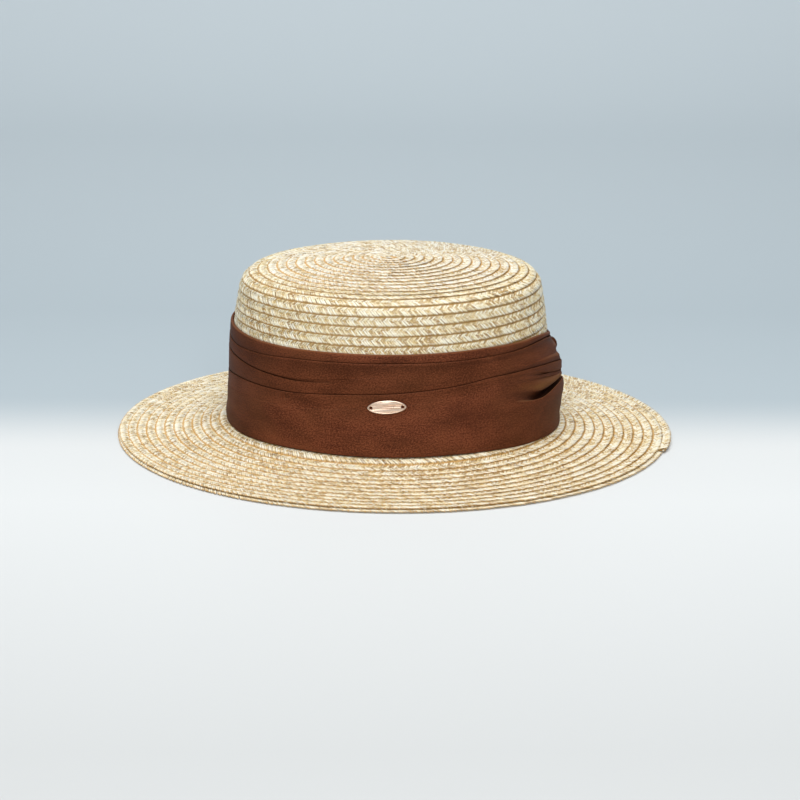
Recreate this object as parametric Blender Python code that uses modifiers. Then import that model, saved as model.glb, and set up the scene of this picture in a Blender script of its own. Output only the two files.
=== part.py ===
"""Straw boater hat: crown, brim, pleated satin band, side gather and a small metal tag.

The hat rests on its brim edge at z = 0. The tag faces -Y, the gather is at +X.
"""

import math
from bisect import bisect_right
from collections import namedtuple

import bmesh
import bpy
from mathutils import Vector

MM = 0.001
SEGMENTS = 48

# Plan shape: rings are ovals, this many times longer front to back than side to side. The brim starts
# as the crown's oval and is almost round at its edge.
OVAL = 1.026
EDGE_OVAL = 0.993

# Sewn straw rows.
ROW_STEP = 5.42 * MM
FIRST_ROW = 3.76 * MM
ROW_LIFT = 0.55 * MM
ROW_DROP = 0.3 * MM

# Crown, measured on its outer face along the side-to-side axis.
CROWN_X = -3.1 * MM
TIP_TOP = 101.3 * MM
DOME_RISE = 6.0 * MM
DOME_R = 77.3 * MM
RIM_R = 10.4 * MM
RIM_SLOPE = math.radians(9.0)
STRAW = 2.0 * MM
CROWN_FOOT = 10.5 * MM
RIBBED_ROWS = 21

# Brim.
BRIM_OUTER = 158.3 * MM
BRIM_INNER = 89.1 * MM
EDGE_SHIFT = (-0.95 * MM, -1.3 * MM)
BRIM_THICK = 2.2 * MM
BRIM_EDGE_TOP = 2.6 * MM
BRIM_RISE = 7.6 * MM
BRIM_CURVE = 3.2
EDGE_ROW_OUT = 1.3 * MM
EDGE_ROW_TOP = 1.3 * MM
EDGE_FLAT = 4.5 * MM
EDGE_ROUND = 0.3 * MM
TAIL_ANGLE = -19.0
TAIL_STEP = 4.6 * MM
TAIL_CUT = 0.4

# Satin band.
SEAT_GAP = 0.3 * MM
BAND_SEGMENTS = 56
CREASE_DEPTH = 1.1
BAND_FOOT = 10.4 * MM
BAND_SAG = 0.2

# Side gather.
GATHER_ANGLE = 9.0

# Metal tag.
TAG_LONG = 20.9 * MM
TAG_HIGH = 7.3 * MM
TAG_THICK = 1.1 * MM
TAG_RIM = 0.7 * MM
TAG_SUNK = 0.25 * MM
TAG_HOLE_R = 0.8 * MM
TAG_HOLE_IN = 1.95 * MM
TAG_POINTS = 20
TAG_ROUND = 1.3
TAG_ANGLE = -92.4
TAG_Z = 38.7 * MM
TAG_TILT = math.radians(-2.7)

Wall = namedtuple("Wall", "z r")
# Outer face of the crown's wall below the rim.
WALL = (
    Wall(69.5 * MM, 88.7 * MM),
    Wall(52.0 * MM, 90.2 * MM),
    Wall(30.0 * MM, 90.9 * MM),
    Wall(10.3 * MM, 91.1 * MM),
)

Fold = namedtuple(
    "Fold",
    "angle top roll_low pleat_low panel_top slit lip upper middle puff foot heap slit_depth pocket",
)
# The band round the crown, in mm: heights of its top and of its five creases, how far it stands off
# the wall above the slit, over the pocket, at the lip and at the foot, and how deep three creases are.
FOLDS = (
    Fold(-177, 66.0, 58.6, 51.5, 36.5, 29.0, 22.0, 2.4, 2.6, 2.7, 2.6, 1.0, 0.0, 0.0),
    Fold(-160, 65.6, 57.6, 49.3, 39.3, 32.0, 26.0, 2.4, 2.6, 2.7, 2.6, 1.0, 0.0, 0.0),
    Fold(-145, 65.3, 58.6, 48.6, 40.3, 33.5, 27.0, 2.4, 2.5, 2.7, 2.6, 1.0, 0.0, 0.0),
    Fold(-125, 65.9, 60.8, 48.4, 41.4, 35.0, 28.0, 2.4, 2.5, 2.7, 2.6, 0.7, 0.0, 0.0),
    Fold(-106, 66.6, 61.6, 51.0, 44.2, 37.5, 31.0, 2.4, 2.5, 2.7, 2.6, 0.0, 0.0, 0.0),
    Fold(-88, 66.8, 62.3, 53.5, 46.6, 40.0, 34.0, 2.4, 2.5, 2.7, 2.6, 0.0, 0.0, 0.0),
    Fold(-70, 67.0, 62.6, 55.0, 49.6, 44.0, 35.5, 2.5, 2.6, 2.8, 2.7, 0.0, 0.0, 0.0),
    Fold(-56, 67.0, 63.2, 56.0, 51.6, 46.8, 35.5, 2.7, 2.8, 3.3, 3.2, 0.0, 0.0, 0.15),
    Fold(-47, 66.5, 63.4, 56.2, 51.9, 47.3, 33.8, 3.0, 3.0, 4.1, 3.9, 0.0, 0.1, 0.5),
    Fold(-38, 66.0, 63.6, 56.2, 51.9, 46.3, 31.8, 3.5, 3.0, 5.4, 4.8, 0.0, 0.5, 0.9),
    Fold(-30, 65.9, 63.5, 56.0, 51.4, 44.3, 31.0, 4.3, 3.2, 6.6, 5.7, 0.0, 1.0, 1.0),
    Fold(-20, 64.9, 62.3, 55.3, 50.0, 40.6, 31.8, 6.0, 4.0, 8.0, 7.0, 0.0, 1.0, 1.0),
    Fold(-12, 64.1, 60.5, 54.0, 47.8, 38.4, 33.0, 7.9, 5.4, 9.2, 7.4, 0.1, 1.0, 0.9),
    Fold(-6.5, 62.4, 58.8, 53.0, 45.6, 37.6, 33.6, 8.8, 8.6, 9.8, 7.2, 0.3, 0.7, 0.3),
    Fold(1.5, 59.5, 56.0, 51.5, 44.5, 38.0, 33.0, 2.3, 2.3, 2.3, 2.3, 0.6, 0.5, 0.0),
    Fold(9, 58.5, 55.0, 50.5, 44.0, 38.0, 33.0, 2.5, 2.5, 2.5, 2.5, 0.6, 0.0, 0.0),
    Fold(16.5, 59.0, 55.5, 51.0, 44.5, 38.0, 33.0, 2.3, 2.3, 2.3, 2.3, 0.6, 0.5, 0.0),
    Fold(24.5, 61.0, 57.3, 52.3, 45.3, 38.6, 33.5, 6.5, 6.3, 7.4, 6.0, 0.8, 0.7, 0.3),
    Fold(35, 64.0, 60.0, 54.0, 46.6, 39.6, 32.5, 4.8, 3.6, 5.8, 5.0, 0.8, 0.8, 0.8),
    Fold(50, 66.0, 62.0, 55.5, 47.0, 39.5, 32.0, 3.2, 2.9, 4.0, 3.6, 0.7, 0.3, 0.4),
    Fold(70, 66.2, 61.5, 55.0, 45.0, 37.0, 30.0, 2.5, 2.6, 2.8, 2.7, 0.6, 0.0, 0.0),
    Fold(105, 65.8, 60.5, 53.0, 41.5, 34.0, 27.0, 2.4, 2.5, 2.7, 2.6, 0.6, 0.0, 0.0),
    Fold(140, 65.8, 60.0, 52.5, 39.0, 31.0, 24.0, 2.4, 2.5, 2.7, 2.6, 0.8, 0.0, 0.0),
)

Wrap = namedtuple("Wrap", "z reach half_width")
# Outline of the side gather from foot to head.
WRAPS = (
    Wrap(11.2 * MM, 95.8 * MM, 5.0 * MM),
    Wrap(14.0 * MM, 97.4 * MM, 6.2 * MM),
    Wrap(24.0 * MM, 98.2 * MM, 6.6 * MM),
    Wrap(38.0 * MM, 98.4 * MM, 6.2 * MM),
    Wrap(46.0 * MM, 97.4 * MM, 6.4 * MM),
    Wrap(52.5 * MM, 96.2 * MM, 6.2 * MM),
    Wrap(57.0 * MM, 95.0 * MM, 4.8 * MM),
)
GATHER_INNER = 93.9 * MM
GATHER_FLUTES = 3
GATHER_ROUND = 14

Look = namedtuple("Look", "colour roughness metallic")
LOOKS = {
    "straw": Look((0.70, 0.56, 0.33), 0.55, 0.0),
    "satin": Look((0.075, 0.034, 0.024), 0.42, 0.0),
    "rose_gold": Look((0.72, 0.44, 0.34), 0.3, 1.0),
}


def material(name):
    """The named Principled material, made on first use."""
    found = bpy.data.materials.get(name)
    if found:
        return found
    look = LOOKS[name]
    made = bpy.data.materials.new(name)
    made.use_nodes = True
    shader = made.node_tree.nodes["Principled BSDF"]
    shader.inputs["Base Color"].default_value = (*look.colour, 1.0)
    shader.inputs["Roughness"].default_value = look.roughness
    shader.inputs["Metallic"].default_value = look.metallic
    made.diffuse_color = (*look.colour, 1.0)
    return made


def add(name, data, look, smooth_angle=38.0):
    """Puts mesh or curve data in the hat's collection as a smooth-shaded object."""
    obj = bpy.data.objects.new(name, data)
    hat.objects.link(obj)
    data.materials.append(material(look))
    if obj.type == "MESH":
        data.shade_smooth()
        data.set_sharp_from_angle(angle=math.radians(smooth_angle))
    return obj


def mesh_from(name, points, faces):
    """A mesh with its faces turned to point outwards."""
    mesh = bpy.data.meshes.new(name)
    mesh.from_pydata(points, [], faces)
    shape = bmesh.new()
    shape.from_mesh(mesh)
    bmesh.ops.recalc_face_normals(shape, faces=shape.faces)
    shape.to_mesh(mesh)
    shape.free()
    return mesh


def ring_loft(name, sections):
    """A ring skinned over closed sections that differ in shape but not in point count."""
    count, size = len(sections), len(sections[0])
    points = [point for section in sections for point in section]
    faces = []
    for i in range(count):
        here, there = i * size, (i + 1) % count * size
        for j in range(size):
            k = (j + 1) % size
            faces.append((here + j, here + k, there + k, there + j))
    return mesh_from(name, points, faces)


def stack_loft(name, sections):
    """A solid skinned over stacked closed sections, with a flat cap at each end."""
    count, size = len(sections), len(sections[0])
    points = [point for section in sections for point in section]
    faces = [tuple(range(size)), tuple(range((count - 1) * size, count * size))]
    for i in range(count - 1):
        here, there = i * size, (i + 1) * size
        for j in range(size):
            k = (j + 1) % size
            faces.append((here + j, here + k, there + k, there + j))
    return mesh_from(name, points, faces)


def on_oval(angle, r, z, oval=OVAL):
    """A point at this angle in degrees on the oval whose side-to-side radius is r."""
    a = math.radians(angle)
    return r * math.cos(a), oval * r * math.sin(a), z


def smooth_step(t):
    return t * t * (3 - 2 * t)


def wall_radius(z):
    """Outer radius of the crown's wall at height z."""
    for high, low in zip(WALL, WALL[1:]):
        if z >= low.z:
            t = (z - low.z) / (high.z - low.z)
            return low.r + (high.r - low.r) * t
    return WALL[-1].r


class CrownLine:
    """The crown's outer face from the middle of the tip down the wall, by distance along it."""

    def __init__(self):
        line = []
        for i in range(40):
            r = DOME_R * i / 40
            line.append((r, TIP_TOP - DOME_RISE * (r / DOME_R) ** 2))
        centre_r = DOME_R - RIM_R * math.sin(RIM_SLOPE)
        centre_z = TIP_TOP - DOME_RISE - RIM_R * math.cos(RIM_SLOPE)
        turn = math.pi / 2 - 2 * RIM_SLOPE
        for i in range(13):
            a = math.pi / 2 - RIM_SLOPE - turn * i / 12
            line.append((centre_r + RIM_R * math.cos(a), centre_z + RIM_R * math.sin(a)))
        line.extend((step.r, step.z) for step in WALL)
        self.line = [Vector(point) for point in line]
        self.lengths = [0.0]
        for a, b in zip(self.line, self.line[1:]):
            self.lengths.append(self.lengths[-1] + (b - a).length)

    def at(self, distance, lift=0.0):
        """The (r, z) point this far along, raised off the face by lift."""
        i = min(bisect_right(self.lengths, distance), len(self.line) - 1)
        a, b = self.line[i - 1], self.line[i]
        along = (b - a).normalized()
        point = a + along * (distance - self.lengths[i - 1])
        return point.x - along.y * lift, point.y + along.x * lift


def row_steps(first, count):
    """(distance, lift) pairs of the overlapping rows: each climbs to its free edge, then drops."""
    for i in range(count):
        distance = first + i * ROW_STEP
        yield distance, ROW_LIFT
        yield distance + ROW_DROP, 0.0


def turned(name, profile, look):
    """A solid of revolution whose profile runs down its outer side and up its inner side."""
    mesh = bpy.data.meshes.new(name)
    points = [(r, 0.0, z) for r, z in profile]
    mesh.from_pydata(points, [(i, i + 1) for i in range(len(points) - 1)], [])
    obj = add(name, mesh, look)
    screw = obj.modifiers.new("Turn", "SCREW")
    screw.steps = screw.render_steps = SEGMENTS
    screw.use_merge_vertices = True
    screw.merge_threshold = 0.00001
    screw.use_smooth_shade = True
    return obj


def make_crown():
    line = CrownLine()
    outer = [(0.0, TIP_TOP + ROW_LIFT)]
    outer += [line.at(s, lift) for s, lift in row_steps(FIRST_ROW, RIBBED_ROWS)]
    outer += [(wall_radius(z), z) for z in (45 * MM, 30 * MM, 20 * MM)]
    outer.append((wall_radius(CROWN_FOOT), CROWN_FOOT))
    inner = [(wall_radius(CROWN_FOOT) - STRAW, CROWN_FOOT)]
    inner += [(wall_radius(z) - STRAW, z) for z in (30 * MM, 52 * MM, 69.5 * MM)]
    rim = line.lengths[40]
    for s in (rim + 13 * MM, rim + 9 * MM, rim + 5 * MM, rim, rim * 0.66, rim * 0.33):
        inner.append(line.at(s, -STRAW))
    inner.append((0.0, TIP_TOP - STRAW))
    crown = turned("crown", outer + inner, "straw")
    crown.location.x = CROWN_X
    crown.scale.y = OVAL
    return crown


def brim_top(r):
    """Height of the brim's upper face at radius r."""
    t = max(0.0, (BRIM_OUTER - r) / (BRIM_OUTER - BRIM_INNER))
    return BRIM_EDGE_TOP + BRIM_RISE * t**BRIM_CURVE


def edge_radius(angle):
    """Outer radius, which grows clockwise round the hat up to the end of the straw row."""
    turn = (TAIL_ANGLE - angle) % 360 / 360
    return BRIM_OUTER + TAIL_STEP * (turn - 0.5)


def on_brim(angle, r, z):
    """A point of the brim, whose rings pass from the crown's oval and place to those of the edge."""
    share = min(1.0, (r - BRIM_INNER) / (BRIM_OUTER - BRIM_INNER))
    x, y, z = on_oval(angle, r, z, OVAL + (EDGE_OVAL - OVAL) * share)
    return x + CROWN_X + (EDGE_SHIFT[0] - CROWN_X) * share, y + EDGE_SHIFT[1] * share, z


def brim_section(angle):
    """One closed (r, z) slice through the brim, from its inner rim outwards over the top."""
    edge = edge_radius(angle)
    slice_ = [(BRIM_INNER, brim_top(BRIM_INNER))]
    rows = int((BRIM_OUTER - TAIL_STEP / 2 - BRIM_INNER) / ROW_STEP)
    first = BRIM_INNER + ROW_STEP - 1.2 * MM
    for r, lift in row_steps(first, rows - 1):
        slice_.append((r, brim_top(r) + lift - ROW_DROP))
    slice_ += [
        (edge - 2 * EDGE_ROUND, brim_top(edge) + EDGE_ROUND),
        (edge, brim_top(edge) - EDGE_ROUND),
        (edge, EDGE_ROW_TOP),
        (edge + EDGE_ROW_OUT, EDGE_ROW_TOP - EDGE_ROUND),
        (edge + EDGE_ROW_OUT, EDGE_ROUND),
        (edge + EDGE_ROW_OUT - EDGE_ROUND, 0.0),
        (edge - EDGE_FLAT, 0.0),
    ]
    for t in (0.6, 0.4, 0.2, 0.1, 0.0):
        r = BRIM_INNER + (edge - EDGE_FLAT - BRIM_INNER) * t
        slice_.append((r, brim_top(r) - BRIM_THICK))
    return slice_


def make_brim():
    angles = [TAIL_ANGLE + 360 * (i + 0.5) / SEGMENTS for i in range(SEGMENTS)]
    angles += [TAIL_ANGLE + TAIL_CUT, TAIL_ANGLE + 360 - TAIL_CUT]
    angles.sort()
    sections = [[on_brim(a, r, z) for r, z in brim_section(a)] for a in angles]
    return add("brim", ring_loft("brim", sections), "straw")


def fold_at(angle):
    """The band's creases at any angle, eased between the rows of FOLDS."""
    turned_angle = (angle - FOLDS[0].angle) % 360 + FOLDS[0].angle
    ends = FOLDS + (FOLDS[0]._replace(angle=FOLDS[0].angle + 360),)
    for a, b in zip(ends, ends[1:]):
        if turned_angle <= b.angle:
            t = smooth_step((turned_angle - a.angle) / (b.angle - a.angle))
            return Fold(*(x + (y - x) * t for x, y in zip(a, b)))
    return FOLDS[0]


def crease(height, above, below, depth):
    """(out, z) points of one crease, from the layer above into the fold and over the crest below."""
    deep = min(above, below) - CREASE_DEPTH * depth
    return [(above, height + 1.2), (deep, height), (below, height - 0.9)]


def band_section(angle):
    """One closed (r, z) slice through the band: pleats down the outside, plain up the inside."""
    fold = fold_at(angle)
    calm = min(fold.upper, 2.4)
    spread = fold.upper - calm
    heap = calm + 0.4 * spread
    deep = fold.middle - CREASE_DEPTH
    roll = max(fold.top - 1.6, fold.roll_low + 1.3)
    foot_z = BAND_FOOT / MM - BAND_SAG * (fold.foot - 2.6)
    outside = [(1.2, fold.top), (0.8 * calm, fold.top - 0.5), (0.95 * calm, roll)]
    outside += crease(fold.roll_low, calm, calm + 0.15 * spread, 1.0)
    outside += crease(fold.pleat_low, calm + 0.3 * spread, heap, fold.heap)
    outside.append((heap, (fold.pleat_low + fold.panel_top) / 2))
    outside += crease(fold.panel_top, fold.upper, fold.upper, 1.0)
    outside += crease(fold.slit, fold.upper, (fold.upper + fold.middle) / 2, fold.slit_depth)
    outside += [
        (fold.middle, fold.lip + min(3.2, 0.6 * (fold.slit - fold.lip))),
        (fold.puff + (deep - fold.puff) * fold.pocket, fold.lip + 0.6),
        (fold.puff, fold.lip - 0.6),
        (fold.puff, fold.lip - 5.0),
        (fold.foot, 14.0),
        (0.9 * fold.foot, foot_z),
    ]
    slice_ = [(wall_radius(z * MM) + max(out, 0.7) * MM, z * MM) for out, z in outside]
    top = fold.top * MM
    for z in (BAND_FOOT, 30 * MM, 52 * MM, top):
        slice_.append((wall_radius(z) + SEAT_GAP, z))
    slice_[-1] = (slice_[-1][0] + 0.5 * MM, top)
    return slice_


def make_band():
    angles = [360 * i / BAND_SEGMENTS for i in range(BAND_SEGMENTS)]
    sections = [[on_oval(a, r, z) for r, z in band_section(a)] for a in angles]
    band = add("hat_band", ring_loft("hat_band", sections), "satin")
    band.location.x = CROWN_X
    return band


def wrap_section(wrap):
    """One flat slice of the side gather, fluted on its outer half."""
    middle = (GATHER_INNER + wrap.reach) / 2
    depth = (wrap.reach - GATHER_INNER) / 2
    points = []
    for i in range(GATHER_ROUND):
        a = 2 * math.pi * i / GATHER_ROUND
        flute = 1.0
        if math.cos(a) > 0:
            flute += 0.12 * math.cos(2 * GATHER_FLUTES * a)
        out = middle + depth * flute * math.copysign(abs(math.cos(a)) ** 0.6, math.cos(a))
        side = wrap.half_width * math.copysign(abs(math.sin(a)) ** 0.8, math.sin(a))
        points.append((out, side, wrap.z))
    return points


def make_gather():
    sections = [wrap_section(wrap) for wrap in WRAPS]
    gather = add("band_gather", stack_loft("band_gather", sections), "satin", 60.0)
    gather.location.x = CROWN_X
    gather.rotation_euler.z = math.radians(GATHER_ANGLE)
    return gather


def pointed_oval(half_long, half_high):
    """Outline of an oval drawn to a soft point left and right."""
    points = []
    for i in range(TAG_POINTS):
        a = 2 * math.pi * i / TAG_POINTS
        high = half_high * math.copysign(abs(math.sin(a)) ** TAG_ROUND, math.sin(a))
        points.append((half_long * math.cos(a), high))
    return points


def flat_outline(name, outlines, thickness):
    """A 2D curve given thickness, with its first outline as the edge and the others as holes."""
    curve = bpy.data.curves.new(name, "CURVE")
    curve.dimensions = "2D"
    curve.fill_mode = "BOTH"
    curve.extrude = thickness / 2
    for outline in outlines:
        spline = curve.splines.new("POLY")
        spline.points.add(len(outline) - 1)
        for point, (x, y) in zip(spline.points, outline):
            point.co = (x, y, 0.0, 1.0)
        spline.use_cyclic_u = True
    return curve


def as_mesh(curve, name):
    """The mesh of a curve, with the points where its caps meet its sides made one."""
    helper = bpy.data.objects.new(name, curve)
    mesh = bpy.data.meshes.new_from_object(helper)
    bpy.data.objects.remove(helper)
    mesh.name = name
    shape = bmesh.new()
    shape.from_mesh(mesh)
    bmesh.ops.remove_doubles(shape, verts=shape.verts, dist=1e-6)
    bmesh.ops.recalc_face_normals(shape, faces=shape.faces)
    shape.to_mesh(mesh)
    shape.free()
    return mesh


def circle(x, r, count=12):
    steps = (2 * math.pi * i / count for i in range(count))
    return [(x + r * math.cos(a), r * math.sin(a)) for a in steps]


def make_tag():
    long, high = TAG_LONG / 2, TAG_HIGH / 2
    hole_x = long - TAG_HOLE_IN
    outlines = [pointed_oval(long, high), circle(hole_x, TAG_HOLE_R), circle(-hole_x, TAG_HOLE_R)]
    plate = as_mesh(flat_outline("plate_outline", outlines, TAG_THICK), "tag_plate")
    tag = add("tag_plate", plate, "rose_gold", 30.0)
    sunk = flat_outline("sunk_outline", [pointed_oval(long - 2.2 * TAG_RIM, high - TAG_RIM)], TAG_THICK)
    cutter = bpy.data.objects.new("tag_face_cutter", as_mesh(sunk, "tag_face_cutter"))
    helpers.objects.link(cutter)
    cutter.hide_render = True
    cutter.display_type = "WIRE"
    cutter.parent = tag
    cutter.location.z = TAG_THICK - TAG_SUNK
    cut = tag.modifiers.new("Sunk face", "BOOLEAN")
    cut.operation = "DIFFERENCE"
    cut.solver = "EXACT"
    cut.object = cutter
    z_low, z_high = TAG_Z - TAG_HIGH / 2, TAG_Z + TAG_HIGH / 2
    band = [r for r, z in band_section(TAG_ANGLE) if z_low - 4 * MM < z < z_high + 4 * MM]
    seat = max(band) + SEAT_GAP + TAG_THICK / 2
    x, y, z = on_oval(TAG_ANGLE, seat, TAG_Z)
    tag.location = (x + CROWN_X, y, z)
    tag.rotation_euler = (math.pi / 2, TAG_TILT, math.radians(TAG_ANGLE + 90))
    return tag


for old in list(bpy.data.objects):
    bpy.data.objects.remove(old, do_unlink=True)
hat = bpy.data.collections.new("Straw boater hat")
bpy.context.scene.collection.children.link(hat)
helpers = bpy.data.collections.new("Helpers")
bpy.context.scene.collection.children.link(helpers)

make_crown()
make_brim()
make_band()
make_gather()
make_tag()
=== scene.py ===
"""Dresses the straw boater's solids: plaited straw, a pleated satin band, its side gather and a metal tag.

Each operator of the "Boater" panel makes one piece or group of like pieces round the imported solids.
"""

import math
from collections import namedtuple

import bmesh
import bpy
import numpy as np
from mathutils import Matrix, Vector


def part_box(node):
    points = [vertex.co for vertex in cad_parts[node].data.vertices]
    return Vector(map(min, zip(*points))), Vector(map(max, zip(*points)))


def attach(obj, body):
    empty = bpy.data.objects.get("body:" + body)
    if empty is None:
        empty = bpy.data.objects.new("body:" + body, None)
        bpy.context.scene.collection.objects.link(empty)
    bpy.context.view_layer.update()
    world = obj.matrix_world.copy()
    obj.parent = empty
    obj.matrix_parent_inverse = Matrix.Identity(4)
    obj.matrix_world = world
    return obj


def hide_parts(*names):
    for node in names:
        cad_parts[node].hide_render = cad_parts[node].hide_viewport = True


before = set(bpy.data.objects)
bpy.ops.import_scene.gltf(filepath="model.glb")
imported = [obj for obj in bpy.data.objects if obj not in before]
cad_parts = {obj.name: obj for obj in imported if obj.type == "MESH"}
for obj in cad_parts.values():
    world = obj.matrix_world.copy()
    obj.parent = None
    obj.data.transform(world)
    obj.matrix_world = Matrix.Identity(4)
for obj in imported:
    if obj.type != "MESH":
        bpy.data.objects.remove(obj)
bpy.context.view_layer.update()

bl_info = {
    "name": "Straw boater finish",
    "version": (1, 0, 0),
    "blender": (4, 5, 0),
    "location": "3D View > Sidebar > Boater",
    "description": "Builds the straw, satin and metal of a boater hat round its solids",
    "category": "Object",
}

MM = 0.001
HEADWEAR = "root"

# Shape shared with the solids.
OVAL = 1.026
EDGE_OVAL = 0.993
ROW_STEP = 5.42 * MM
CROWN_X = -3.1 * MM
TIP_TOP = 101.3 * MM
DOME_RISE = 6.0 * MM
DOME_R = 77.3 * MM
RIM_R = 10.4 * MM
RIM_SLOPE = math.radians(9.0)
STRAW = 2.0 * MM
BRIM_OUTER = 158.3 * MM
BRIM_INNER = 89.1 * MM
EDGE_SHIFT = (-0.95 * MM, -1.3 * MM)
BRIM_THICK = 2.2 * MM
BRIM_EDGE_TOP = 2.6 * MM
BRIM_RISE = 7.6 * MM
BRIM_CURVE = 3.2
TAIL_ANGLE = -19.0
TAIL_STEP = 4.6 * MM
GATHER_ANGLE = 9.0

# Where the dressed hat departs from the solids: the height of the band's foot in mm and its drop for
# each mm that it stands out, the brim's swell at the front, and how much the tip sinks to one side.
BAND_FOOT = 8.8
BAND_SAG = 0.27
SWELL = 1.9 * MM
TIP_LEAN = 0.012
# The radius where the swell starts and over how much it climbs, then where and over how much it fades.
SWELL_START, SWELL_CLIMB, SWELL_END, SWELL_FADE = 90.6 * MM, 2.6 * MM, 94 * MM, 3.6 * MM
# The tip sinks where x, from the crown's middle, is less than this, in m. The sinking starts at the
# next height and has grown to its full size over the last one.
LEAN_START, LEAN_FOOT, LEAN_CLIMB = 0.03, 0.064, 0.028
# The hat's front stretch in degrees: its middle, half its width, and how far it fades out past that.
FRONT_MIDDLE, FRONT_HALF, FRONT_FADE = -96, 25, 38

Wall = namedtuple("Wall", "z r")
# Outer face of the crown's wall below the rim.
WALL = (
    Wall(69.5 * MM, 88.7 * MM),
    Wall(52.0 * MM, 90.2 * MM),
    Wall(30.0 * MM, 90.9 * MM),
    Wall(10.3 * MM, 91.1 * MM),
)

Fold = namedtuple(
    "Fold",
    "angle top roll_low pleat_low panel_top slit lip upper middle puff foot heap slit_depth pocket",
)
# The band round the crown, in degrees and mm: heights of its top and of its five creases, how far it
# stands off the wall above the slit, over the pocket, at the lip and at the foot, and how deep three
# creases are, from 0 to 1. Some creases lie lower than the solid's.
FOLDS = (
    Fold(-177, 66.0, 58.2, 51.5, 36.5, 29.0, 22.0, 2.4, 2.6, 2.7, 2.6, 1.0, 0.0, 0.0),
    Fold(-160, 65.6, 56.8, 50.2, 39.3, 32.0, 26.0, 2.4, 2.6, 2.7, 2.6, 1.0, 0.0, 0.0),
    Fold(-145, 65.3, 57.7, 48.9, 40.3, 33.5, 27.0, 2.4, 2.5, 2.7, 2.6, 1.0, 0.0, 0.0),
    Fold(-125, 65.9, 60.2, 48.4, 41.4, 35.0, 28.0, 2.4, 2.5, 2.7, 2.6, 0.7, 0.0, 0.0),
    Fold(-106, 66.6, 61.3, 51.0, 44.0, 37.5, 31.0, 2.4, 2.5, 2.7, 2.6, 0.0, 0.0, 0.0),
    Fold(-88, 66.8, 61.8, 53.5, 45.6, 40.0, 34.0, 2.4, 2.5, 2.7, 2.6, 0.0, 0.0, 0.0),
    Fold(-70, 67.0, 61.6, 55.0, 47.8, 44.0, 35.5, 2.5, 2.6, 2.8, 2.7, 0.0, 0.0, 0.0),
    Fold(-56, 67.0, 61.7, 56.0, 50.2, 46.8, 35.5, 2.7, 2.8, 3.3, 3.2, 0.0, 0.0, 0.0),
    Fold(-47, 66.5, 61.5, 56.2, 50.1, 47.3, 33.8, 3.0, 3.0, 4.1, 3.9, 0.0, 0.0, 0.1),
    Fold(-38, 66.0, 61.9, 55.0, 49.9, 46.3, 32.6, 3.5, 3.0, 5.4, 4.8, 0.0, 0.1, 0.4),
    Fold(-30, 65.9, 62.2, 54.6, 49.1, 44.6, 31.6, 4.3, 3.2, 6.6, 5.7, 0.0, 0.4, 0.9),
    Fold(-20, 64.3, 61.4, 53.6, 47.6, 41.6, 34.0, 6.0, 4.0, 8.0, 7.0, 0.0, 1.0, 1.0),
    Fold(-12, 62.0, 59.2, 51.8, 45.6, 39.2, 35.2, 7.9, 6.4, 9.2, 7.4, 0.0, 1.0, 1.0),
    Fold(-6.5, 60.4, 57.8, 50.4, 43.8, 38.6, 35.4, 8.8, 8.6, 9.8, 7.2, 0.1, 0.7, 0.3),
    Fold(1.5, 58.6, 55.6, 49.8, 43.2, 38.0, 33.0, 2.3, 2.3, 2.3, 2.3, 0.6, 0.5, 0.0),
    Fold(9, 58.0, 54.8, 49.4, 43.0, 38.0, 33.0, 2.5, 2.5, 2.5, 2.5, 0.6, 0.0, 0.0),
    Fold(16.5, 59.0, 55.5, 51.0, 44.5, 38.0, 33.0, 2.3, 2.3, 2.3, 2.3, 0.6, 0.5, 0.0),
    Fold(24.5, 61.0, 57.3, 52.3, 45.3, 38.6, 33.5, 6.5, 6.3, 7.4, 6.0, 0.8, 0.7, 0.3),
    Fold(35, 64.0, 60.0, 54.0, 46.6, 39.6, 32.5, 4.8, 3.6, 5.8, 5.0, 0.8, 0.8, 0.8),
    Fold(50, 66.0, 62.0, 55.5, 47.0, 39.5, 32.0, 3.2, 2.9, 4.0, 3.6, 0.7, 0.3, 0.4),
    Fold(70, 66.2, 61.5, 55.0, 45.0, 37.0, 30.0, 2.5, 2.6, 2.8, 2.7, 0.6, 0.0, 0.0),
    Fold(105, 65.8, 60.5, 53.0, 41.5, 34.0, 27.0, 2.4, 2.5, 2.7, 2.6, 0.6, 0.0, 0.0),
    Fold(140, 65.8, 60.0, 52.5, 39.0, 31.0, 24.0, 2.4, 2.5, 2.7, 2.6, 0.8, 0.0, 0.0),
)

Wrap = namedtuple("Wrap", "z reach half_width")
# Outline of the side gather from foot to head, which ends lower than that of the solid.
WRAPS = (
    Wrap(10.7 * MM, 94.6 * MM, 3.6 * MM),
    Wrap(11.8 * MM, 96.4 * MM, 5.2 * MM),
    Wrap(15.0 * MM, 97.8 * MM, 6.2 * MM),
    Wrap(24.0 * MM, 98.5 * MM, 6.6 * MM),
    Wrap(38.0 * MM, 98.8 * MM, 6.2 * MM),
    Wrap(43.0 * MM, 97.2 * MM, 5.2 * MM),
    Wrap(47.0 * MM, 98.2 * MM, 5.4 * MM),
    Wrap(49.0 * MM, 97.9 * MM, 4.8 * MM),
    Wrap(50.6 * MM, 96.4 * MM, 3.4 * MM),
)
GATHER_INNER = 92.6 * MM

Tack = namedtuple("Tack", "angle z")
# Small hand stitches that pin the pleats, in degrees and mm. Only the dents that they make are shaped.
TACKS = (Tack(-129, 38.4), Tack(-56, 62.0), Tack(-52, 21.0))

View = namedtuple("View", "location pitch yaw roll lens")
# The camera's place in m, its angles in degrees and its lens in mm.
PHOTO_VIEW = View((-0.03225, -1.1622, 0.3368), 15.41, 1.73, 0.60, 93.5)


# Shader maths


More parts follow.
